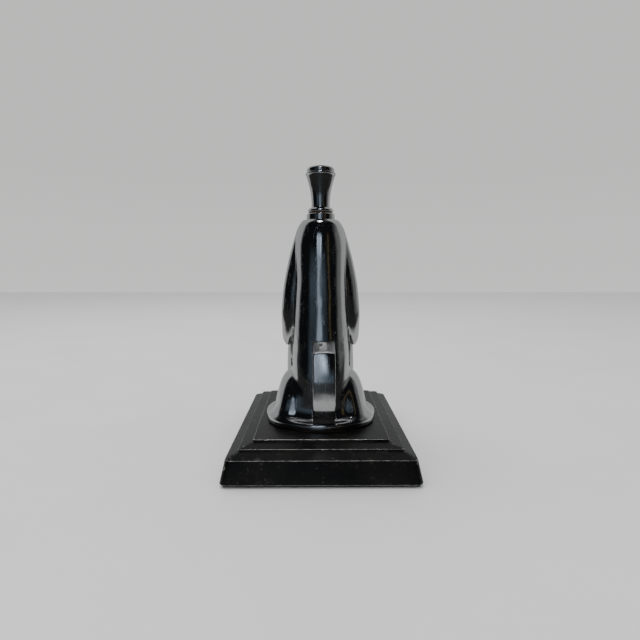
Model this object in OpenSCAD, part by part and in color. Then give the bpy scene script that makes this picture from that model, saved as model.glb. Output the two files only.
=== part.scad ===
// Seated hound in chrome on a stepped black base, with a lift-out striker wand in its crown.
// Millimetres. +Z is up, the hound faces -Y, and the origin is the middle of the rest face.

/* [Base] */
// Width of the base at its foot, across the hound
base_w = 83.1; // [78:0.1:90]
// Depth of the base at its foot, from nose to tail
base_d = 102.6; // [96:0.1:110]
// Height of the base's flat top above the table
base_top = 15.7; // [15:0.1:17]
// Thickness of the felt under the base
felt_t = 0.6; // [0.4:0.1:1]

/* [Hound] */
// Height of the hound from the base's gasket to its crown
figure_h = 94.8; // [92:0.1:98]
// How far the hound stands behind the middle of the base
axis_y = 4.2; // [2:0.1:6]
// Radius of the round foot disc
foot_r = 26.8; // [26.4:0.1:28]
// Thickness of the foot disc
foot_t = 2.8; // [2.2:0.1:3.2]
// Width of the flat tail band
tail_w = 9.8; // [9:0.1:11]
// How far the tail band stands off the middle, to the hound's right
tail_off = 1.3; // [0:0.1:2]

/* [Wand] */
// Height of the flared knob above its stop ring
knob_h = 18.8; // [16:0.1:22]
// Radius of the knob's rim
knob_r = 7.2; // [6.6:0.1:7.6]
// Radius of the knob's neck
neck_r = 4.35; // [4.2:0.05:5]
// Outer radius of the wand's tube
wand_r = 3.75; // [3.6:0.05:3.8]
// Gap between the wand's tube and its guide, on the radius
wand_gap = 0.05; // [0.03:0.01:0.1]
// How far the wand reaches down below the crown collar
wand_reach = 67; // [55:1:70]

/* [Striker] */
// Length of the striker bar's holder
striker_l = 38; // [30:1:40]
// Width of the striker bar's holder
striker_w = 8; // [6:0.5:9]
// Height of the holder above the base's top
striker_h = 3.8; // [3:0.1:4.5]

/* [Hidden] */
$fn = 64;
// Small overlap that makes a cut run past a face
eps = 0.1;
// Gap left between fixed parts that slip into each other
slip = 0.03;

// Base: height of each edge of the profile and how far it is set in from the foot
band_top = 10.8;
band_inset = 2.1;
step_1_low = 12.7;
step_1_high = 13.6;
step_1_inset = 7;
step_2_low = 14.7;
step_2_inset = 12.4;
base_corner = 2.8;
step_corner = 1.1;
foot_round = 0.7;
// Base: the cored hollow underneath, the rabbet for the bottom plate and its screw bosses
plate_t = 1;
plate_top = felt_t + plate_t;
rabbet_inset = 3.1;
core_inset = 5.1;
core_top = 9.9;
upper_core_inset = 11.6;
upper_core_top = 12.3;
boss_r = 3.6;
boss_in = 4.2;
boss_x = base_w / 2 - core_inset - boss_in;
boss_y = base_d / 2 - core_inset - boss_in;
plate_screw_r = 1.25;
plate_screw_len = 6.4;
plate_head_r = 2.3;
plate_gap = 0.2;
felt_inset = 1.6;
access_r = 8.2;

// Foot and crown heights
foot_low_round = 0.6;
foot_high_round = 1.1;
gasket_t = 0.4;
gasket_in = 0.7;
foot_z = base_top + gasket_t;
disc_top = foot_z + foot_t;
crown_z = foot_z + figure_h;

// Reservoir: a tube from the base's hollow to the crown, which clamps hound and base together
tube_r = 6;
tube_wall = 0.6;
tube_bottom = 4.6;
tube_short = 0.1;
tube_top = crown_z - tube_short;
body_core_r = 6.6;
crown_wall = 11;
body_core_top = crown_z - crown_wall;
chamber_r = 11.4;
chamber_h = 34;
chamber_taper = 8;
washer_t = 0.8;
washer_r = 9.4;
nut_across = 17;
nut_t = 3;
plug_flange_r = 6.9;
plug_flange_t = 1.4;
plug_len = 4.2;
seal_t = 0.5;
seal_over = 0.4;
coin_slot = 1.3;
coin_slot_d = 0.8;
cotton_gap = 0.4;
cotton_side = 0.1;
cotton_top = 34;

// Crown collar and the wand's guide
collar_r = 7.3;
collar_neck_r = 6.7;
collar_t = 3;
collar_bead_t = 1.7;
collar_round = 0.5;
collar_spigot = 6;
collar_top = crown_z + collar_t;
guide_r = 4.3;
guide_below = 4;
guide_bottom = crown_z - wand_reach - guide_below;
guide_set = 0.6;
guide_hole_r = 1;
guide_holes = [5, 7, 40];
collar_seal_t = 0.3;
collar_seal_r = 5.6;

// Wand
rest_gap = 0.05;
ring_z = collar_top + collar_seal_t + rest_gap;
ring_t = 2.3;
ring_r = 6.15;
ring_low_round = 0.6;
ring_high_round = 1.2;
knob_z = ring_z + ring_t;
knob_top = knob_z + knob_h;
lip_r = 0.6;
flare_power = 1.25;
flare_steps = 12;
cap_t = 2.7;
cap_r = 6.5;
cap_low_round = 0.3;
cap_high_round = 1.4;
knob_socket = 6;
wand_end = crown_z - wand_reach;
wand_bore_r = 3.25;
tip_t = 2;
pin_r = 1;
pin_out = 4.6;
pin_in = 8;
wick_len = 28;
slot_w = 1.3;
slot_len = 15;
slot_start = 4;
wick_gap = 0.05;
wick_start = 0.1;
tip_taper = 0.8;

// Screws that hold the hound's foot
figure_screw_x = 17.6;
figure_screw_r = 2;
figure_screw_len = 12;
figure_head_r = 3.7;
figure_head_t = 2.4;
figure_hole_gap = 0.2;
figure_slot = [1, 1];
figure_washer_r = 4.5;
figure_thread_gap = 2;

// Striker bar in front of the hound
striker_in = 8.2;
striker_y = -(base_d / 2 - step_2_inset) + striker_in;
striker_side_h = 1.6;
striker_chamfer = 1.2;
flint_ends = 6;
flint_l = striker_l - 2 * flint_ends;
flint_w = 3.6;
flint_t = 2.4;
flint_proud = 0.5;
rivet_r = 1.1;
rivet_in = 3;
rivet_head_r = 1.9;
rivet_dome = 0.6;
rivet_head_t = 0.7;

// Stations of the hound's forms, measured from the middle of its foot: height, x, y, half width, half depth,
// then the half depth behind y where it differs, and the turn in plan, rear edge inwards
torso = [[0, 0, 6.8, 15.5, 24, 15], [11.2, 0, 7.6, 14.6, 25.3, 14.1], [23.2, 0, 7.3, 13.6, 26, 13.4],
  [35.2, 0, 5.8, 13.2, 25.4, 13], [47.2, 0, 3.9, 12.8, 22.4, 12.8], [61.2, 0, 2.4, 12.3, 15.7, 12.5],
  [75.2, 0, 1.6, 12, 12.4, 12.4], [83.2, 0, 0.8, 11.9, 11.9, 11.9], [88.2, 0, 0.2, 11.2, 11, 11],
  [91.2, 0, -0.1, 10.4, 10, 10], [93.6, 0, -0.1, 9, 8.7, 8.7], [94.8, 0, 0, 7.8, 7.5, 7.5]];
// Each ear hangs in two folds. Their rows: height, how far out they reach, y, half width, half depth
ear_rear_rows = [[34.4, 17, -1, 0.8, 1.2], [36.4, 18, -0.6, 1.5, 2.4], [40, 18.7, 0.2, 2.1, 3.6],
  [46, 19, 0.9, 2.5, 4.4], [52, 18.9, 1.2, 2.6, 4.7], [60, 18.2, 1.3, 2.6, 4.7], [68, 17, 1.2, 2.6, 4.6],
  [76, 15.3, 1.1, 2.4, 4.2], [82, 13.7, 1, 2.1, 3.6], [87.5, 12, 0.8, 1.7, 2.6], [91, 10.4, 0.5, 1.3, 1.9],
  [93.6, 8.6, 0.4, 0.9, 1.3]];
ear_front_rows = [[34.4, 16.7, -4, 0.7, 1.6], [36.4, 17.7, -4.6, 1.2, 3], [40, 18.4, -5.6, 1.7, 4.6],
  [46, 18.7, -5.9, 2.1, 5.8], [52, 18.6, -5.8, 2.2, 6.2], [60, 17.9, -5.4, 2.2, 6.2],
  [68, 16.7, -4.9, 2.2, 5.8], [76, 15, -4.2, 2.1, 5.2], [82, 13.4, -3.4, 1.9, 4.4],
  [87.5, 11.7, -2.4, 1.6, 3.4], [91, 10.1, -1.7, 1.2, 2.4], [93.6, 8.3, -1, 0.8, 1.5]];
ear_rear_turn = 50;
ear_front_turn = -8;
foreleg = [[1.5, 12, -15.4, 4.6, 5.2], [6, 12.4, -15, 4.4, 4.8], [14, 13, -14, 4.4, 4.6],
  [22, 12.8, -13.2, 4.8, 4.8], [29.5, 12, -12.6, 5, 5.2], [40, 10.4, -12, 5.4, 6.4],
  [49, 8.4, -10.8, 4.6, 6], [54, 7, -9.6, 2, 3]];
haunch = [[0.2, 15.6, 4.8, 7.6, 14], [6.2, 15, 4.8, 7.4, 13.5], [12.2, 14.2, 4.8, 6.8, 12.5],
  [18.2, 13.5, 4.3, 5.6, 10], [22.2, 12.5, 3.8, 4, 7], [24.6, 11.4, 3.5, 1.8, 4]];
// The head's stations run forward from the neck: distance forward, x, height, half width, half height
head = [[0.2, 0, 83.2, 9.4, 9.6], [8.2, 0, 82.7, 10.3, 10.1], [14.2, 0, 81.3, 9.3, 8.7],
  [19.2, 0, 78.8, 7.6, 6.8], [24.2, 0, 76.8, 6.4, 5.7], [28.2, 0, 75.6, 5.4, 4.9], [30.7, 0, 75.2, 3.4, 3.4]];
// Middle and half sizes of each rounded detail on the hound's right side
paw = [[11.6, -17.4, 4.4], [4.8, 6.6, 3.8]];
hind_foot = [[18.2, -7.2, 3.8], [4.2, 10, 3.2]];
nose = [[0, -30.2, 77.4], [2.6, 2.2, 2]];
eye = [[6.6, -16.4, 85.2], [1.9, 1.6, 1.6]];

// Tail band: the arcs of its outer face, seen from the side
tail_apex = [35.4, 36.3];
tail_upper_r = 30;
tail_lower_r = 50;
tail_foot_r = 22;
tail_lip_z = 51.8;
tail_turn_z = 28.3;
tail_root = [22.5, 54.8];
tail_inner_y = 20.5;
tail_steps = 5;

// A smooth value between the rows of a list, at u rows from its start
function blend(a, b, c, d, t) =
  b + t * (c - a) / 2 + t * t * (2 * a - 5 * b + 4 * c - d) / 2 + t * t * t * (3 * b - a - 3 * c + d) / 2;
function row(rows, i) = rows[min(max(i, 0), len(rows) - 1)];
function along(rows, u) =
  let (i = min(floor(u), len(rows) - 2))
  blend(row(rows, i - 1), row(rows, i), row(rows, i + 1), row(rows, i + 2), u - i);
// The stations of one fold of an ear, its middle set in from its reach by the turned oval's half width
function fold(rows, turn) = [for (r = rows)
  let (half = norm([r[3] * cos(turn), r[4] * sin(turn)]))
  [r[0], r[1] - half, r[2], r[3], r[4], r[4], turn]];
// An oval of n points in the plane of a station
function ring(s, n) =
  let (back = len(s) > 5 ? s[5] : s[4], turn = len(s) > 6 ? s[6] : 0)
  [for (i = [0:n - 1])
    let (a = 360 * i / n, x = s[3] * cos(a), y = (a < 180 ? back : s[4]) * sin(a))
    [s[1] + x * cos(turn) - y * sin(turn), s[2] + x * sin(turn) + y * cos(turn), s[0]]];
// Heights from a down to b in even steps, without b itself
function heights(a, b) = [for (i = [0:tail_steps - 1]) a + (b - a) * i / tail_steps];
// How far back a circle about c reaches at height z
function arc_y(c, r, z) = c[0] + sqrt(r * r - (z - c[1]) * (z - c[1]));

// A turned disc, bored to a radius, with its rim rounded below and above
module turned_disc(r, t, low, high, bore) {
  rotate_extrude()
    polygon(concat(
      [[bore, 0]],
      [for (a = [-90:30:0]) [r - low + low * cos(a), low + low * sin(a)]],
      [for (a = [0:30:90]) [r - high + high * cos(a), t - high + high * sin(a)]],
      [[bore, t]]));
}

// A closed solid through a stack of rings with the same number of points
module stack(rings) {
  n = len(rings[0]);
  last = len(rings) - 1;
  sides = [for (j = [0:last - 1], i = [0:n - 1])
    [j * n + i, (j + 1) * n + i, (j + 1) * n + (i + 1) % n, j * n + (i + 1) % n]];
  foot = [for (i = [0:n - 1]) i];
  top = [for (i = [n - 1:-1:0]) last * n + i];
  polyhedron(points = [for (r = rings) each r], faces = concat([foot], sides, [top]), convexity = 6);
}

// A smooth solid through the stations, with n points in each ring and m rings in each gap
module loft(rows, n, m) {
  stack([for (j = [0:(len(rows) - 1) * m]) ring(along(rows, j / m), n)]);
}

module rounded(detail) {
  translate(detail[0])
    scale(detail[1])
      sphere(r = 1, $fn = 24);
}

module both_sides() {
  children();
  mirror([1, 0, 0]) children();
}

// The hound's outside, standing on the origin
module hound_form() {
  resize([0, 0, figure_h])
    union() {
      turned_disc(foot_r, foot_t, foot_low_round, foot_high_round, 0);
      loft(torso, 36, 2);
      rotate([90, 0, 0])
        loft(head, 28, 2);
      rounded(nose);
      both_sides() {
        loft(fold(ear_rear_rows, ear_rear_turn), 18, 2);
        loft(fold(ear_front_rows, ear_front_turn), 18, 2);
        loft(foreleg, 18, 2);
        loft(haunch, 24, 2);
        rounded(paw);
        rounded(hind_foot);
        rounded(eye);
      }
    }
}

module at_axis(z) {
  translate([0, axis_y, z]) children();
}

module tube(z0, z1, outer, inner) {
  translate([0, 0, z0])
    difference() {
      cylinder(r = outer, h = z1 - z0);
      translate([0, 0, -eps])
        cylinder(r = inner, h = z1 - z0 + 2 * eps);
    }
}

// A rectangle with corners of radius r at height z, drawn in by an inset from the base's foot
function base_ring(z, inset, r) = [for (q = [0:3], a = [0:15:90])
  let (
    sx = (q == 0 || q == 3) ? 1 : -1,
    sy = q < 2 ? 1 : -1,
    turn = 90 * q + a
  )
  [sx * (base_w / 2 - inset - r) + r * cos(turn), sy * (base_d / 2 - inset - r) + r * sin(turn), z]];

// The base's outside, one ring for each edge of its stepped profile
module base_form() {
  edges = [[felt_t, foot_round, base_corner], [felt_t + foot_round, 0, base_corner],
    [band_top, band_inset, base_corner], [step_1_low, step_1_inset, step_corner],
    [step_1_high, step_1_inset, step_corner], [step_2_low, step_2_inset, step_corner],
    [base_top, step_2_inset, step_corner]];
  stack([for (e = edges) base_ring(e[0], e[1], e[2])]);
}

module slab(z0, z1, inset) {
  translate([-base_w / 2 + inset, -base_d / 2 + inset, z0])
    cube([base_w - 2 * inset, base_d - 2 * inset, z1 - z0]);
}

module at_bosses() {
  for (x = [-1, 1], y = [-1, 1])
    translate([x * boss_x, y * boss_y, 0])
      children();
}

module at_figure_screws() {
  for (x = [-1, 1])
    translate([x * figure_screw_x, axis_y, 0])
      children();
}

module at_rivets() {
  for (x = [-1, 1])
    translate([x * (striker_l / 2 - rivet_in), striker_y, 0])
      children();
}

module base_casting() {
  color([0.03, 0.03, 0.035])
    difference() {
      union() {
        difference() {
          base_form();
          slab(felt_t - eps, plate_top, rabbet_inset);
          slab(felt_t, core_top, core_inset);
          slab(felt_t, upper_core_top, upper_core_inset);
        }
        at_bosses()
          translate([0, 0, plate_top])
            cylinder(r = boss_r, h = core_top - plate_top + eps);
      }
      at_bosses()
        translate([0, 0, plate_top - eps])
          cylinder(r = plate_screw_r + slip, h = plate_screw_len);
      at_axis(upper_core_top - eps)
        cylinder(r = tube_r + slip, h = base_top);
      at_figure_screws()
        translate([0, 0, upper_core_top - eps])
          cylinder(r = figure_screw_r + figure_hole_gap, h = base_top);
      at_rivets()
        translate([0, 0, upper_core_top - eps])
          cylinder(r = rivet_r + slip, h = base_top);
    }
}

module bottom_plate() {
  color([0.45, 0.46, 0.48])
    difference() {
      slab(felt_t, plate_top, rabbet_inset + plate_gap);
      at_axis(0)
        cylinder(r = access_r, h = base_top);
      at_bosses()
        translate([0, 0, felt_t - eps])
          cylinder(r1 = plate_head_r + eps + slip, r2 = plate_screw_r + slip, h = plate_t + 2 * eps);
    }
}

module bottom_plate_screws() {
  color([0.6, 0.6, 0.62])
    at_bosses()
      translate([0, 0, felt_t]) {
        cylinder(r1 = plate_head_r, r2 = plate_screw_r, h = plate_t);
        cylinder(r = plate_screw_r, h = plate_screw_len);
      }
}

module base_felt() {
  color([0.08, 0.2, 0.12])
    difference() {
      slab(0, felt_t, felt_inset);
      at_axis(-eps)
        cylinder(r = access_r, h = base_top);
    }
}

module foot_gasket() {
  color([0.12, 0.1, 0.09])
    difference() {
      at_axis(base_top)
        tube(0, gasket_t, foot_r - gasket_in, tube_r + slip);
      at_figure_screws()
        cylinder(r = figure_screw_r + figure_hole_gap, h = foot_z + eps);
    }
}

module tail_profile(grow) {
  upper_c = [tail_apex[0] - tail_upper_r, tail_apex[1]];
  lower_c = [tail_apex[0] - tail_lower_r, tail_apex[1]];
  slope = asin((tail_turn_z - tail_apex[1]) / tail_lower_r);
  foot_c = [lower_c[0] + (tail_lower_r - tail_foot_r) * cos(slope), tail_turn_z - tail_foot_r * sin(slope)];
  inner_y = tail_inner_y - grow;
  root_z = tail_root[1] + grow;
  polygon(concat(
    [[inner_y, disc_top], [inner_y, root_z], [tail_root[0], root_z]],
    [for (z = heights(tail_lip_z, tail_apex[1])) [arc_y(upper_c, tail_upper_r, z) + grow, z]],
    [for (z = heights(tail_apex[1], tail_turn_z)) [arc_y(lower_c, tail_lower_r, z) + grow, z]],
    [for (z = heights(tail_turn_z, disc_top)) [arc_y(foot_c, tail_foot_r, z) + grow, z]],
    [[arc_y(foot_c, tail_foot_r, disc_top) + grow, disc_top]]));
}

// The tail's profile stands upright, fore and aft, and is drawn out to width w
module tail_solid(w, grow) {
  rotate([90, 0, 90])
    translate([0, 0, -tail_off - w / 2])
      linear_extrude(height = w)
        tail_profile(grow);
}

module hound_body() {
  color([0.78, 0.79, 0.8])
    difference() {
      at_axis(foot_z)
        hound_form();
      at_axis(foot_z - eps)
        cylinder(r = chamber_r, h = chamber_h + eps);
      at_axis(foot_z + chamber_h)
        cylinder(r1 = chamber_r, r2 = body_core_r, h = chamber_taper);
      at_axis(foot_z)
        cylinder(r = body_core_r, h = body_core_top - foot_z);
      at_axis(foot_z)
        cylinder(r = tube_r + slip, h = figure_h + eps);
      at_figure_screws()
        translate([0, 0, foot_z - eps])
          cylinder(r = figure_screw_r + slip, h = figure_screw_len - figure_thread_gap);
      tail_solid(tail_w + 2 * slip, slip);
    }
}

module tail_band() {
  color([0.82, 0.83, 0.84])
    tail_solid(tail_w, 0);
}

module figure_screws() {
  color([0.62, 0.62, 0.64])
    at_figure_screws()
      difference() {
        translate([0, 0, upper_core_top - washer_t - figure_head_t])
          union() {
            cylinder(r = figure_head_r, h = figure_head_t);
            cylinder(r = figure_screw_r, h = figure_head_t + figure_screw_len);
          }
        translate([-figure_head_r, -figure_slot[0] / 2, upper_core_top - washer_t - figure_head_t - eps])
          cube([2 * figure_head_r, figure_slot[0], figure_slot[1] + eps]);
      }
}

module figure_washers() {
  color([0.66, 0.66, 0.68])
    at_figure_screws()
      tube(upper_core_top - washer_t, upper_core_top, figure_washer_r, figure_screw_r + figure_hole_gap / 2);
}

module reservoir_tube() {
  color([0.72, 0.58, 0.26])
    at_axis(0)
      tube(tube_bottom, tube_top, tube_r, tube_r - tube_wall);
}

module reservoir_washer() {
  color([0.66, 0.66, 0.68])
    at_axis(0)
      tube(upper_core_top - washer_t, upper_core_top, washer_r, tube_r + slip);
}

module reservoir_nut() {
  color([0.72, 0.58, 0.26])
    at_axis(upper_core_top - washer_t - nut_t)
      difference() {
        cylinder(r = nut_across / sqrt(3), h = nut_t, $fn = 6);
        translate([0, 0, -eps])
          cylinder(r = tube_r + slip, h = nut_t + 2 * eps);
      }
}

module filler_washer() {
  color([0.4, 0.27, 0.16])
    at_axis(0)
      tube(tube_bottom - seal_t, tube_bottom, tube_r + seal_over, tube_r - tube_wall);
}

module filler_plug() {
  color([0.72, 0.58, 0.26])
    at_axis(tube_bottom - seal_t - plug_flange_t)
      difference() {
        union() {
          cylinder(r = plug_flange_r, h = plug_flange_t);
          cylinder(r = tube_r - tube_wall - slip, h = plug_flange_t + seal_t + plug_len);
        }
        translate([-plug_flange_r, -coin_slot / 2, -eps])
          cube([2 * plug_flange_r, coin_slot, coin_slot_d + eps]);
      }
}

module cotton_packing() {
  color([0.92, 0.9, 0.84])
    at_axis(tube_bottom + plug_len + cotton_gap)
      cylinder(r = tube_r - tube_wall - cotton_side, h = cotton_top - tube_bottom - plug_len);
}

module wand_guide() {
  color([0.7, 0.56, 0.26])
    at_axis(0)
      difference() {
        tube(guide_bottom, collar_top - guide_set, guide_r, wand_r + wand_gap);
        for (z = [guide_holes[0]:guide_holes[1]:guide_holes[2]])
          translate([-guide_r - eps, 0, guide_bottom + z])
            rotate([0, 90, 0])
              cylinder(r = guide_hole_r, h = 2 * (guide_r + eps));
      }
}

module crown_collar() {
  color([0.76, 0.77, 0.78])
    at_axis(crown_z)
      difference() {
        union() {
          turned_disc(collar_r, collar_bead_t, collar_round, collar_bead_t / 2, 0);
          translate([0, 0, collar_bead_t - eps])
            turned_disc(collar_neck_r, collar_t - collar_bead_t + eps, eps, collar_round, 0);
          translate([0, 0, -collar_spigot])
            cylinder(r = tube_r - tube_wall - slip, h = collar_spigot + eps);
        }
        translate([0, 0, -collar_spigot - eps])
          cylinder(r = guide_r + slip, h = collar_spigot + collar_t + 2 * eps);
      }
}

module collar_seal() {
  color([0.35, 0.25, 0.17])
    at_axis(0)
      tube(collar_top, collar_top + collar_seal_t, collar_seal_r, guide_r + slip);
}

module striker_holder() {
  color([0.76, 0.77, 0.78])
    difference() {
      translate([0, striker_y, base_top])
        rotate([90, 0, 90])
          translate([0, 0, -striker_l / 2])
            linear_extrude(height = striker_l)
              polygon([[-striker_w / 2, 0], [striker_w / 2, 0], [striker_w / 2, striker_side_h],
                [striker_w / 2 - striker_chamfer, striker_h], [-striker_w / 2 + striker_chamfer, striker_h],
                [-striker_w / 2, striker_side_h]]);
      translate([-flint_l / 2 - slip, striker_y - flint_w / 2 - slip, base_top + striker_h - flint_t])
        cube([flint_l + 2 * slip, flint_w + 2 * slip, flint_t + eps]);
      at_rivets()
        cylinder(r = rivet_r + slip, h = base_top + striker_h + eps);
    }
}

module striker_flint() {
  color([0.22, 0.2, 0.19])
    translate([-flint_l / 2, striker_y - flint_w / 2, base_top + striker_h - flint_t])
      cube([flint_l, flint_w, flint_t + flint_proud]);
}

module striker_rivets() {
  color([0.8, 0.8, 0.82])
    at_rivets()
      translate([0, 0, upper_core_top]) {
        cylinder(r = rivet_r, h = base_top + striker_h - upper_core_top);
        translate([0, 0, base_top + striker_h - upper_core_top])
          cylinder(r1 = rivet_head_r, r2 = rivet_head_r - rivet_dome, h = rivet_head_t);
      }
}

module wand_ring() {
  color([0.78, 0.79, 0.8])
    at_axis(ring_z)
      turned_disc(ring_r, ring_t, ring_low_round, ring_high_round, wand_r + slip);
}

// The knob flares from its neck to its rim along a quarter wave
function flare(t) = neck_r + (knob_r - lip_r / 2 - neck_r) * (1 - cos(90 * pow(t, flare_power)));

module wand_knob() {
  lip_z = knob_h - cap_t - lip_r;
  color([0.78, 0.79, 0.8])
    at_axis(knob_z)
      difference() {
        rotate_extrude()
          polygon(concat(
            [[0, 0]],
            [for (i = [0:flare_steps]) [flare(i / flare_steps), (lip_z - lip_r) * i / flare_steps]],
            [for (a = [-45:27:90]) [knob_r - lip_r + lip_r * cos(a), lip_z + lip_r * sin(a)]],
            [[0, lip_z + lip_r]]));
        translate([0, 0, -eps])
          cylinder(r = wand_r + slip, h = knob_socket + eps);
      }
}

module knob_cap() {
  color([0.7, 0.71, 0.72])
    at_axis(knob_top - cap_t)
      turned_disc(cap_r, cap_t, cap_low_round, cap_high_round, 0);
}

module wand_tube() {
  color([0.75, 0.76, 0.77])
    at_axis(0)
      difference() {
        tube(wand_end, knob_z + knob_socket - eps, wand_r, wand_bore_r);
        for (a = [0, 90])
          rotate([0, 0, a])
            translate([-wand_r - eps, -slot_w / 2, wand_end + slot_start])
              cube([2 * (wand_r + eps), slot_w, slot_len]);
      }
}

module wand_wick() {
  color([0.93, 0.9, 0.82])
    at_axis(0)
      tube(wand_end + wick_start, wand_end + wick_len, wand_bore_r - wick_gap, pin_r + slip);
}

module wand_tip() {
  color([0.5, 0.5, 0.52])
    at_axis(wand_end - tip_t) {
      cylinder(r1 = wand_r - tip_taper, r2 = wand_r - wick_gap, h = tip_t);
      translate([0, 0, -pin_out])
        cylinder(r = pin_r, h = pin_out + tip_t + pin_in);
    }
}

base_casting();
bottom_plate();
bottom_plate_screws();
base_felt();
foot_gasket();
hound_body();
tail_band();
figure_screws();
figure_washers();
reservoir_tube();
reservoir_washer();
reservoir_nut();
filler_washer();
filler_plug();
cotton_packing();
wand_guide();
crown_collar();
collar_seal();
striker_holder();
striker_flint();
striker_rivets();
wand_ring();
wand_knob();
knob_cap();
wand_tube();
wand_wick();
wand_tip();
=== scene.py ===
"""Looks for the seated chrome hound on its black stepped base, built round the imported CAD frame.

Lengths are in millimetres inside the shape functions and become metres when a mesh is made.
"""
import math

import bpy
import numpy as np
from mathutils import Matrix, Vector


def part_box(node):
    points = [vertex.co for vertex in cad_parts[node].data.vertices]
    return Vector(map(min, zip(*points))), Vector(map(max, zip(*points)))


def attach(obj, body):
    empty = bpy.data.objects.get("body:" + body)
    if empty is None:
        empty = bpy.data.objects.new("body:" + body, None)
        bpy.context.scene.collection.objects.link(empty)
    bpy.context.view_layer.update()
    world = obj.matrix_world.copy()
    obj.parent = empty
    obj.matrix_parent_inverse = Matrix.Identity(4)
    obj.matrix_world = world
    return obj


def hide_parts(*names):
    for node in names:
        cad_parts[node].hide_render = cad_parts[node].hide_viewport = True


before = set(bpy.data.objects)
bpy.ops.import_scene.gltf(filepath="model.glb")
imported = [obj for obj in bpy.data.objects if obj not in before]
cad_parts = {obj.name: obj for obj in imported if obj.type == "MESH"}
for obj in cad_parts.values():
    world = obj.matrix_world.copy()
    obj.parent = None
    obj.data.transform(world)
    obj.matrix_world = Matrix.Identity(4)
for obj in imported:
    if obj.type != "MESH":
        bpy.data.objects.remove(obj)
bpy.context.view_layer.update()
MM = 0.001
scene = bpy.context.scene


def node_box(name):
    """A CAD node's lowest and highest corner, in millimetres."""
    low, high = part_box(name)
    return np.array(low) / MM, np.array(high) / MM


# ---------------------------------------------------------------- sizes taken from the frame
BASE_LOW, BASE_HIGH = node_box("base_casting")
BODY_LOW, BODY_HIGH = node_box("hound_body")
TUBE_LOW, TUBE_HIGH = node_box("reservoir_tube")
COLLAR_LOW, COLLAR_HIGH = node_box("crown_collar")
RING_LOW, RING_HIGH = node_box("wand_ring")
KNOB_LOW, KNOB_HIGH = node_box("wand_knob")
CAP_LOW, CAP_HIGH = node_box("knob_cap")
TAIL_LOW, TAIL_HIGH = node_box("tail_band")
AXIS_Y = (TUBE_LOW[1] + TUBE_HIGH[1]) / 2
FOOT_Z = BODY_LOW[2]
FIGURE_H = BODY_HIGH[2] - FOOT_Z
FOOT = np.array([0.0, AXIS_Y, FOOT_Z])
FOOT_R = (BODY_HIGH[0] - BODY_LOW[0]) / 2
FOOT_T = 2.8
FOOT_EDGE = 0.9  # rounding of the foot disc's rim
TUBE_R = (TUBE_HIGH[0] - TUBE_LOW[0]) / 2
SLIP = 0.04
TAIL_X = (TAIL_LOW[0] + TAIL_HIGH[0]) / 2
# The cored hollow inside the hound, measured up from its foot
CHAMBER_R, CHAMBER_TOP, CHAMBER_TAPER = 11.4, 34.0, 8.0
CORE_R, CORE_TOP = 6.6, FIGURE_H - 11.0
# The tail band's outer face: the radii of its three arcs, and the heights where they meet
TAIL_UPPER_R, TAIL_LOWER_R, TAIL_HEEL_R = 30.0, 50.0, 22.0
TAIL_APEX_Z, TAIL_TURN_Z = 36.3, 28.3


# ---------------------------------------------------------------- small maths
def smooth_min(a, b, k):
    """The lower of two distances, blended over a width k."""
    h = np.maximum(k - np.abs(a - b), 0.0) / k
    return np.minimum(a, b) - h * h * h * k / 6.0


def smooth_max(a, b, k):
    return -smooth_min(-a, -b, k)


def step(low, high, x):
    """0 below low, 1 above high, smooth between."""
    t = np.clip((x - low) / (high - low), 0.0, 1.0)
    return t * t * (3.0 - 2.0 * t)


class Curve:
    """A natural cubic spline through rows: the first value is the position, the rest what it gives."""

    def __init__(self, rows):
        rows = np.array(rows, float)
        self.x, self.y = rows[:, 0], rows[:, 1:]
        n = len(rows)
        gap = np.diff(self.x)
        m = np.zeros((n, n))
        rhs = np.zeros((n, self.y.shape[1]))
        m[0, 0] = m[-1, -1] = 1.0
        for i in range(1, n - 1):
            m[i, i - 1 : i + 2] = gap[i - 1], 2 * (gap[i - 1] + gap[i]), gap[i]
            after, before = (self.y[i + 1] - self.y[i]) / gap[i], (self.y[i] - self.y[i - 1]) / gap[i - 1]
            rhs[i] = 6 * (after - before)
        self.bend = np.linalg.solve(m, rhs)

    def __call__(self, x):
        x = np.clip(x, self.x[0], self.x[-1])
        i = np.clip(np.searchsorted(self.x, x) - 1, 0, len(self.x) - 2)
        gap = self.x[i + 1] - self.x[i]
        a, b = (self.x[i + 1] - x) / gap, (x - self.x[i]) / gap
        out = []
        for c in range(self.y.shape[1]):
            y, k = self.y[:, c], self.bend[:, c]
            out.append(a * y[i] + b * y[i + 1]
                       + ((a**3 - a) * k[i] + (b**3 - b) * k[i + 1]) * gap * gap / 6.0)
        return out


def fold(rows, turn):
    """The stations of one fold of an ear, set in from its reach by the turned oval's half width."""
    c, d = math.cos(math.radians(turn)), math.sin(math.radians(turn))
    return Curve([[z, reach - math.hypot(wide * c, deep * d), y, wide, deep, deep, turn]
                  for z, reach, y, wide, deep in rows])


# ---------------------------------------------------------------- distances to the hound's forms
def oval(u, v, ru, rv):
    """About the distance to an ellipse with half axes ru and rv."""
    k0 = np.sqrt((u / ru) ** 2 + (v / rv) ** 2)
    k1 = np.sqrt((u / ru**2) ** 2 + (v / rv**2) ** 2)
    return k0 * (k0 - 1.0) / np.maximum(k1, 1e-4)


def egg(p, middle, half):
    """About the distance to an ellipsoid with the half axes half."""
    q = [(p[i] - middle[i]) for i in range(3)]
    k0 = np.sqrt(sum((q[i] / half[i]) ** 2 for i in range(3)))
    k1 = np.sqrt(sum((q[i] / half[i] ** 2) ** 2 for i in range(3)))
    return k0 * (k0 - 1.0) / np.maximum(k1, 1e-4)


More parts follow.
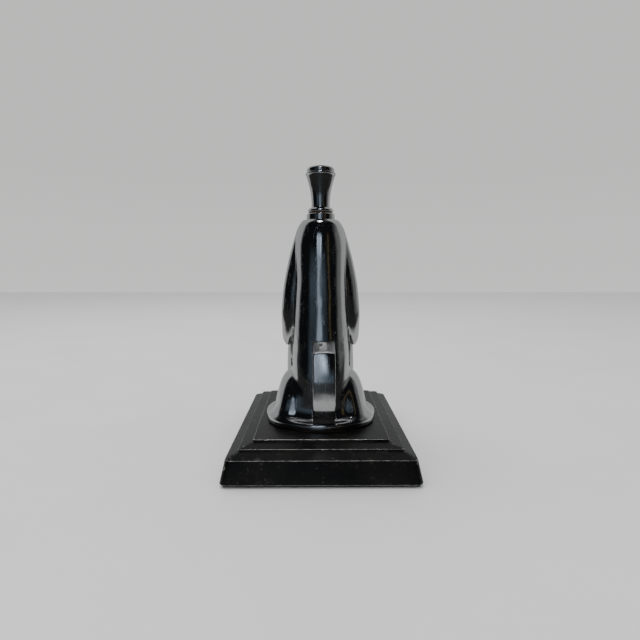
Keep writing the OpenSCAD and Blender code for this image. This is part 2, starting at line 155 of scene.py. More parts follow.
def loft(p, curve, cap=1.5):
    """Distance to a form whose sections across z are ovals that follow the curve."""
    x, y, z = p
    values = curve(z)
    cx, cy, rx, ry = values[:4]
    u, v = x - cx, y - cy
    if len(values) > 5:
        turn = np.radians(values[5])
        u, v = u * np.cos(turn) + v * np.sin(turn), -u * np.sin(turn) + v * np.cos(turn)
    if len(values) > 4:
        ry = np.where(v > 0, values[4], ry)
    ends = np.maximum(curve.x[0] - z, z - curve.x[-1])
    return smooth_max(oval(u, v, rx, ry), ends, cap)


def rod(p, radius, low, high):
    """Distance to an upright cylinder on the hound's axis."""
    x, y, z = p
    return np.maximum(np.hypot(x, y) - radius, np.maximum(low - z, z - high))


# Rows: height above the foot, x, y, half width, half depth in front, half depth behind (and turn in plan)
TORSO = Curve([[-4, 0, 6.5, 15.8, 23.7, 15.3], [0, 0, 6.8, 15.5, 24, 15], [11.2, 0, 7.6, 14.6, 25.3, 14.1],
               [23.2, 0, 7.3, 13.6, 26, 13.4], [35.2, 0, 5.8, 13.2, 25.4, 13],
               [47.2, 0, 3.9, 12.8, 22.4, 12.8], [61.2, 0, 2.4, 12.3, 15.7, 12.5],
               [75.2, 0, 1.6, 12.0, 12.4, 12.4], [83.2, 0, 0.8, 11.9, 11.9, 11.9],
               [88.2, 0, 0.2, 11.2, 11, 11], [91.2, 0, -0.1, 10.4, 10, 10],
               [93.6, 0, -0.1, 9.0, 8.7, 8.7], [95.2, 0, 0, 7.3, 7.0, 7.0]])
# Each ear hangs in two folds. Their rows: height, how far out they reach, y, half width, half depth
EAR_REAR = fold([[34.4, 17, -1, 0.8, 1.2], [36.4, 18, -0.6, 1.5, 2.4], [40, 18.7, 0.2, 2.1, 3.6],
                 [46, 19, 0.9, 2.5, 4.4], [52, 18.9, 1.2, 2.6, 4.7], [60, 18.2, 1.3, 2.6, 4.7],
                 [68, 17, 1.2, 2.6, 4.6], [76, 15.3, 1.1, 2.4, 4.2], [82, 13.7, 1, 2.1, 3.6],
                 [87.5, 12, 0.8, 1.7, 2.6], [91, 10.4, 0.5, 1.3, 1.9], [93.6, 8.6, 0.4, 0.9, 1.3]], 50.0)
EAR_FRONT = fold([[34.4, 16.7, -4, 0.7, 1.6], [36.4, 17.7, -4.6, 1.2, 3], [40, 18.4, -5.6, 1.7, 4.6],
                  [46, 18.7, -5.9, 2.1, 5.8], [52, 18.6, -5.8, 2.2, 6.2], [60, 17.9, -5.4, 2.2, 6.2],
                  [68, 16.7, -4.9, 2.2, 5.8], [76, 15, -4.2, 2.1, 5.2], [82, 13.4, -3.4, 1.9, 4.4],
                  [87.5, 11.7, -2.4, 1.6, 3.4], [91, 10.1, -1.7, 1.2, 2.4], [93.6, 8.3, -1, 0.8, 1.5]], -8.0)
FORELEG = Curve([[1.5, 12, -15.4, 4.6, 5.2], [6, 12.4, -15, 4.2, 4.6], [14, 13, -14, 4.1, 4.3],
                 [22, 12.8, -13.2, 4.5, 4.6], [29.5, 12, -12.6, 5, 5.2], [40, 10.4, -12, 5.4, 6.4],
                 [49, 8.4, -10.8, 4.6, 6], [55, 7, -9.6, 2, 3]])
HAUNCH = Curve([[-3, 15.7, 4.8, 7.6, 14.4], [0.2, 15.6, 4.8, 7.6, 14], [6.2, 15, 4.8, 7.4, 13.5],
                [12.2, 14.2, 4.8, 6.8, 12.5], [18.2, 13.5, 4.3, 5.6, 10], [22.2, 12.5, 3.8, 3.9, 7],
                [24.4, 11.6, 3.5, 2.0, 4]])
# Rows run forward from the neck: distance forward, x, height, half width, half height
HEAD = Curve([[-2, 0, 83.2, 8.4, 9.0], [4, 0, 83.2, 10.0, 10.0], [9, 0, 82.6, 10.3, 10.0],
              [14.2, 0, 81.3, 9.2, 8.7], [19.2, 0, 78.9, 7.2, 6.6], [24.2, 0, 76.9, 6.1, 5.4],
              [28.2, 0, 75.7, 5.3, 4.7], [31.4, 0, 75.2, 3.4, 3.4]])
# Middle and half sizes of each rounded detail, on the side where x is positive
PAW = ([11.8, -17.4, 4.2], [4.9, 6.4, 3.9])
HIND_FOOT = ([18.0, -7.2, 3.6], [4.2, 10, 3.3])
NOSE = ([0, -30.3, 77.6], [2.5, 2.2, 1.9])
EYE = ([6.7, -15.6, 85.0], [1.5, 2.1, 1.3])
BROW = ([6.0, -13.6, 87.3], [2.6, 3.4, 1.6])


def tail_shape(p, grow=0.0):
    """The flat tail band: an arc seen from the side, flat across, with a sloping top."""
    x, y, z = p[0] - TAIL_X, p[1] + AXIS_Y, p[2] + FOOT_Z
    apex_y, apex_z = TAIL_HIGH[1], TAIL_APEX_Z
    slope = math.asin((TAIL_TURN_Z - apex_z) / TAIL_LOWER_R)
    heel_y = apex_y - TAIL_LOWER_R + TAIL_LOWER_R * math.cos(slope) - TAIL_HEEL_R * math.cos(slope)
    heel_z = TAIL_TURN_Z - TAIL_HEEL_R * math.sin(slope)
    upper = np.hypot(y - (apex_y - TAIL_UPPER_R), z - apex_z) - TAIL_UPPER_R
    lower = np.hypot(y - (apex_y - TAIL_LOWER_R), z - apex_z) - TAIL_LOWER_R
    heel = np.hypot(y - heel_y, z - heel_z) - TAIL_HEEL_R
    face = np.where(z > apex_z, upper, np.where(z > TAIL_TURN_Z, lower, heel))
    across = np.abs(x) - (TAIL_HIGH[0] - TAIL_LOW[0]) / 2
    crown = 0.010 * x * x
    top = (z - 51.9) * 0.944 + (y - 31.0) * 0.33 + 0.02 * x * x
    body = smooth_max(face + crown, top, 0.9)
    body = smooth_max(body, across, 0.75)
    ends = np.maximum(TAIL_LOW[2] - z, TAIL_LOW[1] - y)
    return np.maximum(body, ends) - grow


def hound_shape(p):
    """The hound's casting, measured from the middle of its foot."""
    x, y, z = p
    side = (np.abs(x), y, z)
    body = loft(p, TORSO, 1.2)
    head = loft((x, z, -y), HEAD, 2.6)
    head = smooth_min(head, egg(side, *BROW), 3.2)
    head = smooth_min(head, egg(p, *NOSE), 0.9)
    body = smooth_min(body, head, 5.0)
    leg = smooth_min(loft(side, FORELEG, 2.0), egg(side, *PAW), 2.6)
    body = smooth_min(body, leg, 3.0 - 2.3 * step(-14.0, -11.0, y))
    thigh = smooth_min(loft(side, HAUNCH, 3.0), egg(side, *HIND_FOOT), 3.0)
    body = smooth_min(body, thigh, 3.0 + 7.0 * step(24.0, 9.0, z) * step(-4.0, 8.0, y))
    edge = np.hypot(x, y) - (FOOT_R - FOOT_EDGE)
    flat = np.abs(z - FOOT_T / 2) - (FOOT_T / 2 - FOOT_EDGE)
    outside = np.hypot(np.maximum(edge, 0), np.maximum(flat, 0))
    disc = outside + np.minimum(np.maximum(edge, flat), 0) - FOOT_EDGE
    body = smooth_min(body, disc, 2.4 + 8.0 * step(2.0, 15.0, y))
    ear = smooth_min(loft(side, EAR_REAR, 1.2), loft(side, EAR_FRONT, 1.2), 2.4)
    body = smooth_min(body, ear, 0.6 + 2.0 * step(84.0, 92.0, z))
    # a crease down each flank, from under the ear to the haunch
    crease = (np.abs(x) - 13.3 - 1.3 * step(40.0, 24.0, z)) / 0.35
    ends = step(21.5, 24.0, z) * step(44.0, 41.0, z) * step(-15.0, -11.0, y)
    body = body + 0.5 * np.exp(-(crease**2)) * ends
    # face: eyes in shallow sockets, mouth line, nostrils; toes on the feet
    body = smooth_min(body, egg(side, *EYE), 0.35)
    ax = side[0]
    socket = ((ax - 7.4) / 1.2) ** 2 + ((y + 13.4) / 2.6) ** 2 + ((z - 83.4) / 1.0) ** 2
    body = body + 0.45 * np.exp(-socket)
    mouth = 74.2 + 0.020 * (y + 30.0) ** 2
    body = body + 0.32 * np.exp(-(((z - mouth) / 0.34) ** 2)) * step(-17.5, -21.0, y)
    nostril = ((ax - 1.3) / 0.5) ** 2 + ((z - 77.4) / 0.55) ** 2
    body = body + 0.55 * np.exp(-nostril) * step(-30.0, -31.5, y)
    for toe in (10.2, 13.4):
        body = body + 0.45 * np.exp(-(((ax - toe) / 0.42) ** 2)) * step(-19.0, -22.0, y) * step(9.0, 6.0, z)
    for toe in (16.6, 19.4):
        body = body + 0.4 * np.exp(-(((ax - toe) / 0.4) ** 2)) * step(-12.0, -15.0, y) * step(8.0, 5.5, z)
    # the polisher's wheel leaves the casting a little wavy
    body = body + 0.035 * np.sin(x * 0.55 + 1.3) * np.sin(z * 0.21 + 0.4) + 0.03 * np.sin(z * 0.47 + y * 0.31)
    body = smooth_max(body, -z, 0.2)
    body = smooth_max(body, z - FIGURE_H, 0.3)
    # the slot that the tail band sits in, and the cored hollow with the tube's bore
    body = np.maximum(body, -tail_shape(p, SLIP))
    body = np.maximum(body, -rod(p, CHAMBER_R, -5.0, CHAMBER_TOP))
    cone = np.hypot(x, y) - (CHAMBER_R - (z - CHAMBER_TOP) * (CHAMBER_R - CORE_R) / CHAMBER_TAPER)
    taper = np.maximum(cone, np.maximum(CHAMBER_TOP - 0.1 - z, z - CHAMBER_TOP - CHAMBER_TAPER))
    body = np.maximum(body, -taper)
    body = np.maximum(body, -rod(p, CORE_R, -5.0, CORE_TOP))
    return np.maximum(body, -rod(p, TUBE_R + SLIP, -5.0, FIGURE_H + 5.0))


def band_shape(p):
    """The tail band with the small solder bead at its upper end."""
    band = tail_shape(p)
    bead = egg(p, [0.2, 24.6 - AXIS_Y, 54.0 - FOOT_Z], [0.8, 1.4, 0.95])
    return smooth_min(band, bead, 0.5)


# ---------------------------------------------------------------- meshes
def surface(shape, low, high, cell):
    """Points and quads of the surface where shape is zero, on a grid of cells (surface nets)."""
    axes = [np.arange(low[i], high[i] + cell, cell) for i in range(3)]
    grid = np.meshgrid(*axes, indexing="ij")
    f = shape(grid)
    inside = f < 0
    corners = [(i, j, k) for i in (0, 1) for j in (0, 1) for k in (0, 1)]
    n = [s - 1 for s in f.shape]

    def corner(a, c):
        return a[c[0] : c[0] + n[0], c[1] : c[1] + n[1], c[2] : c[2] + n[2]]

    count = sum(corner(inside, c).astype(np.int8) for c in corners)
    active = (count > 0) & (count < 8)
    cells = np.argwhere(active)
    index = np.full(active.shape, -1, np.int64)
    index[active] = np.arange(len(cells))
    total = np.zeros((len(cells), 3))
    hits = np.zeros(len(cells))
    for a in corners:
        for axis in range(3):
            if a[axis]:
                continue
            b = list(a)
            b[axis] = 1
            fa = f[tuple((cells + a).T)]
            fb = f[tuple((cells + b).T)]
            cross = (fa < 0) != (fb < 0)
            t = np.where(cross, fa / np.where(cross, fa - fb, 1.0), 0.0)
            point = np.array(a, float)[None] + 0.0 * total
            point[:, axis] += t
            total[cross] += point[cross]
            hits[cross] += 1
    points = np.array([ax[0] for ax in axes]) + (cells + total / hits[:, None]) * cell
    quads = []
    for axis in range(3):
        u, v = (axis + 1) % 3, (axis + 2) % 3
        near = [slice(None)] * 3
        far = [slice(None)] * 3
        near[axis], far[axis] = slice(0, -1), slice(1, None)
        change = inside[tuple(near)] != inside[tuple(far)]
        for w in (u, v):
            cut = [slice(None)] * 3
            cut[w] = slice(1, -1)
            change = change[tuple(cut)]
        e = np.argwhere(change)
        e[:, u] += 1
        e[:, v] += 1
        du, dv = np.eye(3, dtype=int)[u], np.eye(3, dtype=int)[v]
        around = [index[tuple((e - a * du - b * dv).T)] for a, b in ((1, 1), (0, 1), (0, 0), (1, 0))]
        quad = np.stack(around, 1)
        outward = inside[tuple(e.T)]
        quad[~outward] = quad[~outward][:, ::-1]
        quads.append(quad)
    return points, np.concatenate(quads)


def gradient(shape, points, h=0.02):
    """How fast the distance changes along each axis."""
    g = np.zeros_like(points)
    for axis in range(3):
        d = np.zeros(3)
        d[axis] = h
        g[:, axis] = (shape((points + d).T) - shape((points - d).T)) / (2 * h)
    return g


def settle(shape, points, cell):
    """Moves the points onto the true surface and gives its normals there."""
    for _ in range(3):
        g = gradient(shape, points)
        f = shape(points.T)
        move = g * (f / np.maximum((g * g).sum(1), 0.05))[:, None]
        length = np.linalg.norm(move, axis=1, keepdims=True)
        points = points - move * np.minimum(1.0, 0.5 * cell / np.maximum(length, 1e-9))
    g = gradient(shape, points)
    return points, g / np.maximum(np.linalg.norm(g, axis=1, keepdims=True), 1e-9)


def mesh_piece(name, points, faces, origin=(0, 0, 0)):
    """A mesh object from points in millimetres round an origin in millimetres."""
    mesh = bpy.data.meshes.new(name)
    coords = ((np.asarray(points, float) + np.asarray(origin, float)) * MM).tolist()
    mesh.from_pydata(coords, [], [list(map(int, f)) for f in faces])
    mesh.update()
    mesh.polygons.foreach_set("use_smooth", [True] * len(mesh.polygons))
    piece = bpy.data.objects.new(name, mesh)
    scene.collection.objects.link(piece)
    return piece


def carved(name, shape, low, high, cell, origin):
    """A piece whose surface is where shape is zero, between the corners low and high."""
    points, faces = surface(shape, low, high, cell)
    points, normals = settle(shape, points, cell)
    piece = mesh_piece(name, points, faces, origin=origin)
    piece.data.normals_split_custom_set_from_vertices(normals.tolist())
    return piece


def rounded(corners, turns=6):
    """Rounds the corners, (a, b, radius), of a line: its points, and how near each is to an edge's middle."""
    out = []
    n = len(corners)
    for i, (a, b, r) in enumerate(corners):
        here = np.array([a, b], float)
        if r == 0 or i in (0, n - 1):
            out.append((here, 0.0))
            continue
        before = np.array(corners[i - 1][:2], float) - here
        after = np.array(corners[i + 1][:2], float) - here
        lb, la = np.linalg.norm(before), np.linalg.norm(after)
        before, after = before / lb, after / la
        half = math.acos(float(np.clip(before @ after, -1, 1))) / 2
        reach = min(r / math.tan(half), 0.49 * lb, 0.49 * la)
        radius = reach * math.tan(half)
        middle = here + (before + after) / np.linalg.norm(before + after) * radius / math.sin(half)
        start = here + before * reach - middle
        end = here + after * reach - middle
        a0, a1 = math.atan2(start[1], start[0]), math.atan2(end[1], end[0])
        sweep = (a1 - a0 + math.pi) % (2 * math.pi) - math.pi
        for k in range(turns + 1):
            t = k / turns
            at = a0 + sweep * t
            wear = math.sin(math.pi * t) if before[0] * after[1] - before[1] * after[0] > 0 else 0.0
            out.append((middle + radius * np.array([math.cos(at), math.sin(at)]), wear))
    return out


def rings_to_faces(count, n):
    """Faces through a pile of count rings of n points, closed at both ends."""
    faces = [[j * n + i, j * n + (i + 1) % n, (j + 1) * n + (i + 1) % n, (j + 1) * n + i]
             for j in range(count - 1) for i in range(n)]
    faces.append(list(range(n - 1, -1, -1)))
    faces.append([(count - 1) * n + i for i in range(n)])
    return faces


def flatten(piece):
    """Wide faces look flat and only the fillets between them turn."""
    weigh = piece.modifiers.new("flat_faces", "WEIGHTED_NORMAL")
    weigh.mode = "FACE_AREA"
    weigh.keep_sharp = True


def edge_mask(piece, values):
    """Keeps how near each point is to a worn edge, for the material."""
    layer = piece.data.attributes.new("worn", "FLOAT", "POINT")
    layer.data.foreach_set("value", np.asarray(values, np.float32))


def turned(name, profile, segments=160):
    """A body of revolution about the hound's axis, from a profile of (radius, z, corner radius)."""
    line = rounded(profile)
    points, faces, mask, rows = [], [], [], []
    for (r, z), edge in line:
        if r < 1e-6:
            rows.append([len(points)] * segments)
            points.append((0.0, AXIS_Y, z))
            mask.append(edge)
            continue
        rows.append(list(range(len(points), len(points) + segments)))
        for i in range(segments):
            a = 2 * math.pi * i / segments
            points.append((r * math.cos(a), AXIS_Y + r * math.sin(a), z))
            mask.append(edge)
    closed = np.allclose(line[0][0], line[-1][0])
    if closed:
        last = rows.pop()
        keep = min(last)
        points, mask = points[:keep], mask[:keep]
        rows.append(rows[0])
    for low, high in zip(rows, rows[1:]):
        for i in range(segments):
            j = (i + 1) % segments
            face = list(dict.fromkeys([low[i], low[j], high[j], high[i]]))
            if len(face) > 2:
                faces.append(face)
    piece = mesh_piece(name, points, faces)
    edge_mask(piece, mask)
    flatten(piece)
    return piece


def rectangle_ring(half_x, half_y, r, z, turns=6, per_side=12):
    """A rounded rectangle at height z: its points, and how near each is to a corner's middle."""
    r = max(min(r, half_x * 0.9, half_y * 0.9), 0.02)
    out, corner = [], []
    for q, (sx, sy) in enumerate(((1, 1), (-1, 1), (-1, -1), (1, -1))):
        cx, cy = sx * (half_x - r), sy * (half_y - r)
        for k in range(turns + 1):
            a = math.radians(90 * (q + k / turns))
            out.append((cx + r * math.cos(a), cy + r * math.sin(a), z))
            corner.append(math.sin(math.pi * k / turns))
        nx, ny = ((-1, 1), (-1, -1), (1, -1), (1, 1))[q]
        end = np.array(out[-1])
        a = math.radians(90 * (q + 1))
        next_x, next_y = nx * (half_x - r), ny * (half_y - r)
        start = np.array([next_x + r * math.cos(a), next_y + r * math.sin(a), z])
        for k in range(1, per_side):
            out.append(tuple(end + (start - end) * k / per_side))
            corner.append(0.0)
    return out, corner


def stepped_block(name, profile, half):
    """A block of rounded rectangles. Profile rows: inset, z, fillet radius, corner radius in plan."""
    points, mask = [], []
    line = rounded([row[:3] for row in profile], turns=5)
    plan = np.array([row[3] for row in profile])
    legs = np.diff(np.array([row[:2] for row in profile]), axis=0)
    reach = np.concatenate([[0], np.cumsum(np.hypot(*legs.T))])
    travel = np.concatenate([[0], np.cumsum([np.hypot(*(b[0] - a[0])) for a, b in zip(line, line[1:])])])
    for ((inset, z), edge), at in zip(line, travel / travel[-1] * reach[-1]):
        turn_r = float(np.interp(at, reach, plan))
        ring, corner = rectangle_ring(half[0] - inset, half[1] - inset, turn_r, z)
        points += ring
        mask += [max(edge, 0.75 * c) for c in corner]
    piece = mesh_piece(name, points, rings_to_faces(len(line), len(ring)))
    edge_mask(piece, mask)
    flatten(piece)
    return piece


# ---------------------------------------------------------------- node-graph helpers
def new_material(name):
    material = bpy.data.materials.new(name)
    material.use_nodes = True
    tree = material.node_tree
    return material, tree, tree.nodes["Principled BSDF"]


def coords(tree, scale):
    """Object coordinates (metres) times a scale for each axis."""
    where = tree.nodes.new("ShaderNodeTexCoord")
    grow = tree.nodes.new("ShaderNodeVectorMath")
    grow.operation = "MULTIPLY"
    grow.inputs[1].default_value = scale
    tree.links.new(where.outputs["Object"], grow.inputs[0])
    return grow.outputs[0]


def noise(tree, scale, detail=3.0, rough=0.5, distortion=0.0, stretch=(1, 1, 1)):
    node = tree.nodes.new("ShaderNodeTexNoise")
    node.inputs["Scale"].default_value = scale
    node.inputs["Detail"].default_value = detail
    node.inputs["Roughness"].default_value = rough
    node.inputs["Distortion"].default_value = distortion
    tree.links.new(coords(tree, stretch), node.inputs["Vector"])
    return node.outputs["Fac"]


def remap(tree, value, low, high, to_low=0.0, to_high=1.0):
    node = tree.nodes.new("ShaderNodeMapRange")
    node.inputs["From Min"].default_value = low
    node.inputs["From Max"].default_value = high
    node.inputs["To Min"].default_value = to_low
    node.inputs["To Max"].default_value = to_high
    tree.links.new(value, node.inputs["Value"])
    return node.outputs["Result"]


def maths(tree, operation, a, b=None):
    node = tree.nodes.new("ShaderNodeMath")
    node.operation = operation
    for socket, value in zip(node.inputs, (a, b)):
        if value is None:
            continue
        if isinstance(value, (int, float)):
            socket.default_value = value
        else:
            tree.links.new(value, socket)
    return node.outputs[0]


def mix_colour(tree, fac, a, b):
    node = tree.nodes.new("ShaderNodeMix")
    node.data_type = "RGBA"
    for socket, value in ((node.inputs["Factor"], fac), (node.inputs[6], a), (node.inputs[7], b)):
        if isinstance(value, (int, float)):
            socket.default_value = value
        elif isinstance(value, tuple):
            socket.default_value = (*value, 1.0)
        else:
            tree.links.new(value, socket)
    return node.outputs[2]


def bump(tree, height, distance, strength=1.0, under=None):
    node = tree.nodes.new("ShaderNodeBump")
    node.inputs["Distance"].default_value = distance
    node.inputs["Strength"].default_value = strength
    tree.links.new(height, node.inputs["Height"])
    if under is not None:
        tree.links.new(under, node.inputs["Normal"])
    return node.outputs["Normal"]


def pits(tree, scale, low, high):
    """Small round spots: 1 in a spot, 0 away from it."""
    node = tree.nodes.new("ShaderNodeTexVoronoi")
    node.inputs["Scale"].default_value = scale
    tree.links.new(coords(tree, (1, 1, 1)), node.inputs["Vector"])
    return remap(tree, node.outputs["Distance"], low, high, 1.0, 0.0)


def scratches(tree, scale, turn, width):
    """Long hairlines: where a stretched noise crosses its middle value."""
    where = tree.nodes.new("ShaderNodeTexCoord")
    place = tree.nodes.new("ShaderNodeMapping")
    place.inputs["Rotation"].default_value = (0.0, turn, 0.35 * turn)
    place.inputs["Scale"].default_value = (1.0, 1.0, 0.09)
    tree.links.new(where.outputs["Object"], place.inputs["Vector"])
    node = tree.nodes.new("ShaderNodeTexNoise")
    node.inputs["Scale"].default_value = scale
    node.inputs["Detail"].default_value = 2.0
    tree.links.new(place.outputs[0], node.inputs["Vector"])
    away = maths(tree, "ABSOLUTE", maths(tree, "SUBTRACT", node.outputs["Fac"], 0.5))
    line = remap(tree, away, 0.0, width, 1.0, 0.0)
    gaps = remap(tree, noise(tree, scale * 0.45, 2.0), 0.50, 0.60)
    return maths(tree, "MULTIPLY", line, gaps)


def worn_edge(tree):
    node = tree.nodes.new("ShaderNodeAttribute")
    node.attribute_name = "worn"
    return node.outputs["Fac"]


# ---------------------------------------------------------------- materials
def chrome(name, tint, waves, scratch, pitting, rough=0.045):
    """Old chrome plate: slow waves from hand polishing, hairline scratches and a little pitting."""
    material, tree, shader = new_material(name)
    shader.inputs["Metallic"].default_value = 1.0
    spots = pits(tree, 1500.0, 0.10, 0.15)
    where = remap(tree, noise(tree, 90.0, 4.0, 0.6), 0.55, 0.64)
    spots = maths(tree, "MULTIPLY", maths(tree, "MULTIPLY", spots, where), pitting)
    haze = remap(tree, noise(tree, 120.0, 5.0, 0.6), 0.45, 0.8, rough, rough + 0.07)
    lines = maths(tree, "ADD", scratches(tree, 420.0, 0.5, 0.010), scratches(tree, 560.0, -1.1, 0.008))
    lines = maths(tree, "MULTIPLY", lines, scratch)
    marks = maths(tree, "ADD", maths(tree, "MULTIPLY", spots, 0.4), maths(tree, "MULTIPLY", lines, 0.28))
    tree.links.new(maths(tree, "ADD", haze, marks), shader.inputs["Roughness"])
    tree.links.new(mix_colour(tree, spots, tint, (0.09, 0.075, 0.06)), shader.inputs["Base Color"])
    slow = noise(tree, 55.0, 1.0, 0.4, 0.4)
    hair = noise(tree, 260.0, 4.0, 0.7, 0.5, stretch=(9.0, 9.0, 1.0))
    normal = bump(tree, slow, 0.0011 * waves)
    normal = bump(tree, hair, 0.00002 * scratch, 1.0, normal)
    dents = maths(tree, "ADD", maths(tree, "MULTIPLY", spots, -1.0), maths(tree, "MULTIPLY", lines, -0.30))
    normal = bump(tree, dents, 0.00004, 1.0, normal)
    tree.links.new(normal, shader.inputs["Normal"])
    return material


def file_end(material):
    """The faces that look up are filed dull, the rest stay bright."""
    tree = material.node_tree
    rough = tree.nodes["Principled BSDF"].inputs["Roughness"]
    bright = rough.links[0].from_socket
    where = tree.nodes.new("ShaderNodeNewGeometry")
    apart = tree.nodes.new("ShaderNodeSeparateXYZ")
    tree.links.new(where.outputs["Normal"], apart.inputs[0])
    up = remap(tree, apart.outputs[2], 0.62, 0.74)
    tree.links.new(maths(tree, "ADD", bright, maths(tree, "MULTIPLY", up, 0.33)), rough)
    return material


def enamel(name):
    """Black stoved enamel over iron, rubbed through to grey metal along its edges."""
    material, tree, shader = new_material(name)
    grime = noise(tree, 45.0, 5.0, 0.6)
    chips = noise(tree, 520.0, 6.0, 0.75)
    edge = worn_edge(tree)
    rub = remap(tree, maths(tree, "MULTIPLY", edge, maths(tree, "ADD", chips, 0.28)), 0.60, 0.74)
    dust = pits(tree, 620.0, 0.05, 0.09)
    dust = maths(tree, "MULTIPLY", dust, remap(tree, noise(tree, 90.0, 3.0), 0.48, 0.56))
    black = mix_colour(tree, remap(tree, grime, 0.35, 0.75), (0.0030, 0.0030, 0.0032), (0.009, 0.0085, 0.008))
    smear = remap(tree, noise(tree, 260.0, 6.0, 0.7), 0.58, 0.72)
    smear = maths(tree, "MULTIPLY", smear, remap(tree, noise(tree, 60.0, 3.0), 0.50, 0.62, 0.0, 0.10))
    black = mix_colour(tree, smear, black, (0.42, 0.40, 0.37))
    colour = mix_colour(tree, rub, black, (0.62, 0.60, 0.56))
    colour = mix_colour(tree, maths(tree, "MULTIPLY", dust, 0.5), colour, (0.42, 0.40, 0.36))
    tree.links.new(colour, shader.inputs["Base Color"])
    tree.links.new(maths(tree, "MULTIPLY", rub, 0.8), shader.inputs["Metallic"])
    tree.links.new(remap(tree, grime, 0.3, 0.8, 0.20, 0.38), shader.inputs["Roughness"])
    shader.inputs["Specular IOR Level"].default_value = 0.22
    peel = bump(tree, noise(tree, 420.0, 2.0, 0.5), 0.00006)
    scuff = noise(tree, 300.0, 5.0, 0.7, 0.6, stretch=(1.0, 1.0, 6.0))
    tree.links.new(bump(tree, scuff, 0.00003, 1.0, peel), shader.inputs["Normal"])
    return material


def metal(name, colour, dark, rough):
    """Plain bare metal with stains and a fine grain."""
    material, tree, shader = new_material(name)
    shader.inputs["Metallic"].default_value = 1.0
    stain = noise(tree, 130.0, 5.0, 0.6)
    tree.links.new(mix_colour(tree, remap(tree, stain, 0.4, 0.75), colour, dark), shader.inputs["Base Color"])
    tree.links.new(remap(tree, stain, 0.3, 0.8, rough, rough + 0.2), shader.inputs["Roughness"])
    tree.links.new(bump(tree, noise(tree, 420.0, 4.0, 0.6), 0.00002), shader.inputs["Normal"])
    return material


def fabric(name, colour, other, rough, scale, depth, stretch=(1, 1, 1), sheen=0.2):
    """Soft or grainy stuff: flecks of two colours that also stand up a little."""
    material, tree, shader = new_material(name)
    fleck = noise(tree, scale, 6.0, 0.7, 0.3, stretch)
    tree.links.new(mix_colour(tree, remap(tree, fleck, 0.3, 0.7), colour, other), shader.inputs["Base Color"])
    shader.inputs["Roughness"].default_value = rough
    shader.inputs["Sheen Weight"].default_value = sheen
    tree.links.new(bump(tree, fleck, depth), shader.inputs["Normal"])
    return material


CAST = chrome("cast_chrome", (0.60, 0.605, 0.61), 0.55, 1.0, 1.0)
BAND = file_end(chrome("band_chrome", (0.60, 0.605, 0.61), 0.9, 0.8, 0.7))
TURNED = chrome("turned_chrome", (0.58, 0.58, 0.58), 0.12, 0.8, 0.5, 0.05)
BLACK = enamel("black_enamel")
STEEL = metal("plain_steel", (0.50, 0.49, 0.47), (0.25, 0.22, 0.19), 0.32)
BRASS = metal("brass", (0.62, 0.45, 0.20), (0.34, 0.23, 0.10), 0.28)
FELT = fabric("felt", (0.012, 0.045, 0.022), (0.03, 0.085, 0.045), 0.95, 1600.0, 0.0002, sheen=0.5)
GASKET = fabric("gasket", (0.035, 0.022, 0.015), (0.07, 0.045, 0.03), 0.8, 900.0, 0.00006)
LEATHER = fabric("leather_seal", (0.10, 0.05, 0.022), (0.17, 0.09, 0.04), 0.6, 1100.0, 0.00006)
COTTON = fabric("cotton", (0.78, 0.74, 0.66), (0.62, 0.57, 0.48), 0.95, 900.0, 0.0003, (1, 1, 4), 0.5)
FLINT = fabric("flint", (0.05, 0.046, 0.043), (0.14, 0.13, 0.12), 0.75, 1900.0, 0.0002, sheen=0.0)


def dress(piece, material):
    piece.data.materials.clear()
    piece.data.materials.append(material)


# ---------------------------------------------------------------- the figure
low, high = [-27.6, -37.6, -0.8], [27.6, 33.0, FIGURE_H + 0.8]
HOUND_CELL = 0.55
TAIL_CELL = 0.3
hound = carved("hound_figure", hound_shape, low, high, HOUND_CELL, FOOT)
dress(hound, CAST)
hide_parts("hound_body")
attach(hound, "stand")

low, high = [TAIL_X - 5.8, 14.5, 1.9], [TAIL_X + 5.8, 32.6, 40.6]
tail = carved("tail_strap", band_shape, low, high, TAIL_CELL, FOOT)
dress(tail, BAND)
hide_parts("tail_band")
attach(tail, "stand")

# ---------------------------------------------------------------- the turned parts
BORE = TUBE_R + SLIP
SKIRT, NECK = COLLAR_HIGH[0], RING_HIGH[0]
z0, z1 = COLLAR_LOW[2], COLLAR_HIGH[2]
collar = turned("crown_nut", [
    (BORE, z0, 0), (SKIRT - 0.2, z0, 0.1), (SKIRT, z0 + 0.4, 0.2), (SKIRT - 0.1, z0 + 1.0, 0.3),
    (SKIRT - 0.35, z0 + 1.9, 0.3), (SKIRT - 0.65, z1 - 0.5, 0.25), (SKIRT - 1.2, z1, 0.2),
    (BORE, z1, 0.05), (BORE, z0, 0)])
dress(collar, TURNED)
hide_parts("crown_collar")
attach(collar, "stand")

z0, z1 = RING_LOW[2], RING_HIGH[2]
HOLE = 3.3
ring = turned("stop_bead", [
    (HOLE, z0, 0), (NECK - 0.6, z0, 0.2), (NECK, z0 + 0.5, 0.5), (NECK - 0.1, z0 + 1.25, 0.5),
    (NECK - 0.9, z1 - 0.25, 0.4), (NECK - 1.5, z1, 0.1), (HOLE, z1, 0.05), (HOLE, z0, 0)])
dress(ring, TURNED)
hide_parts("wand_ring")
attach(ring, "wand")

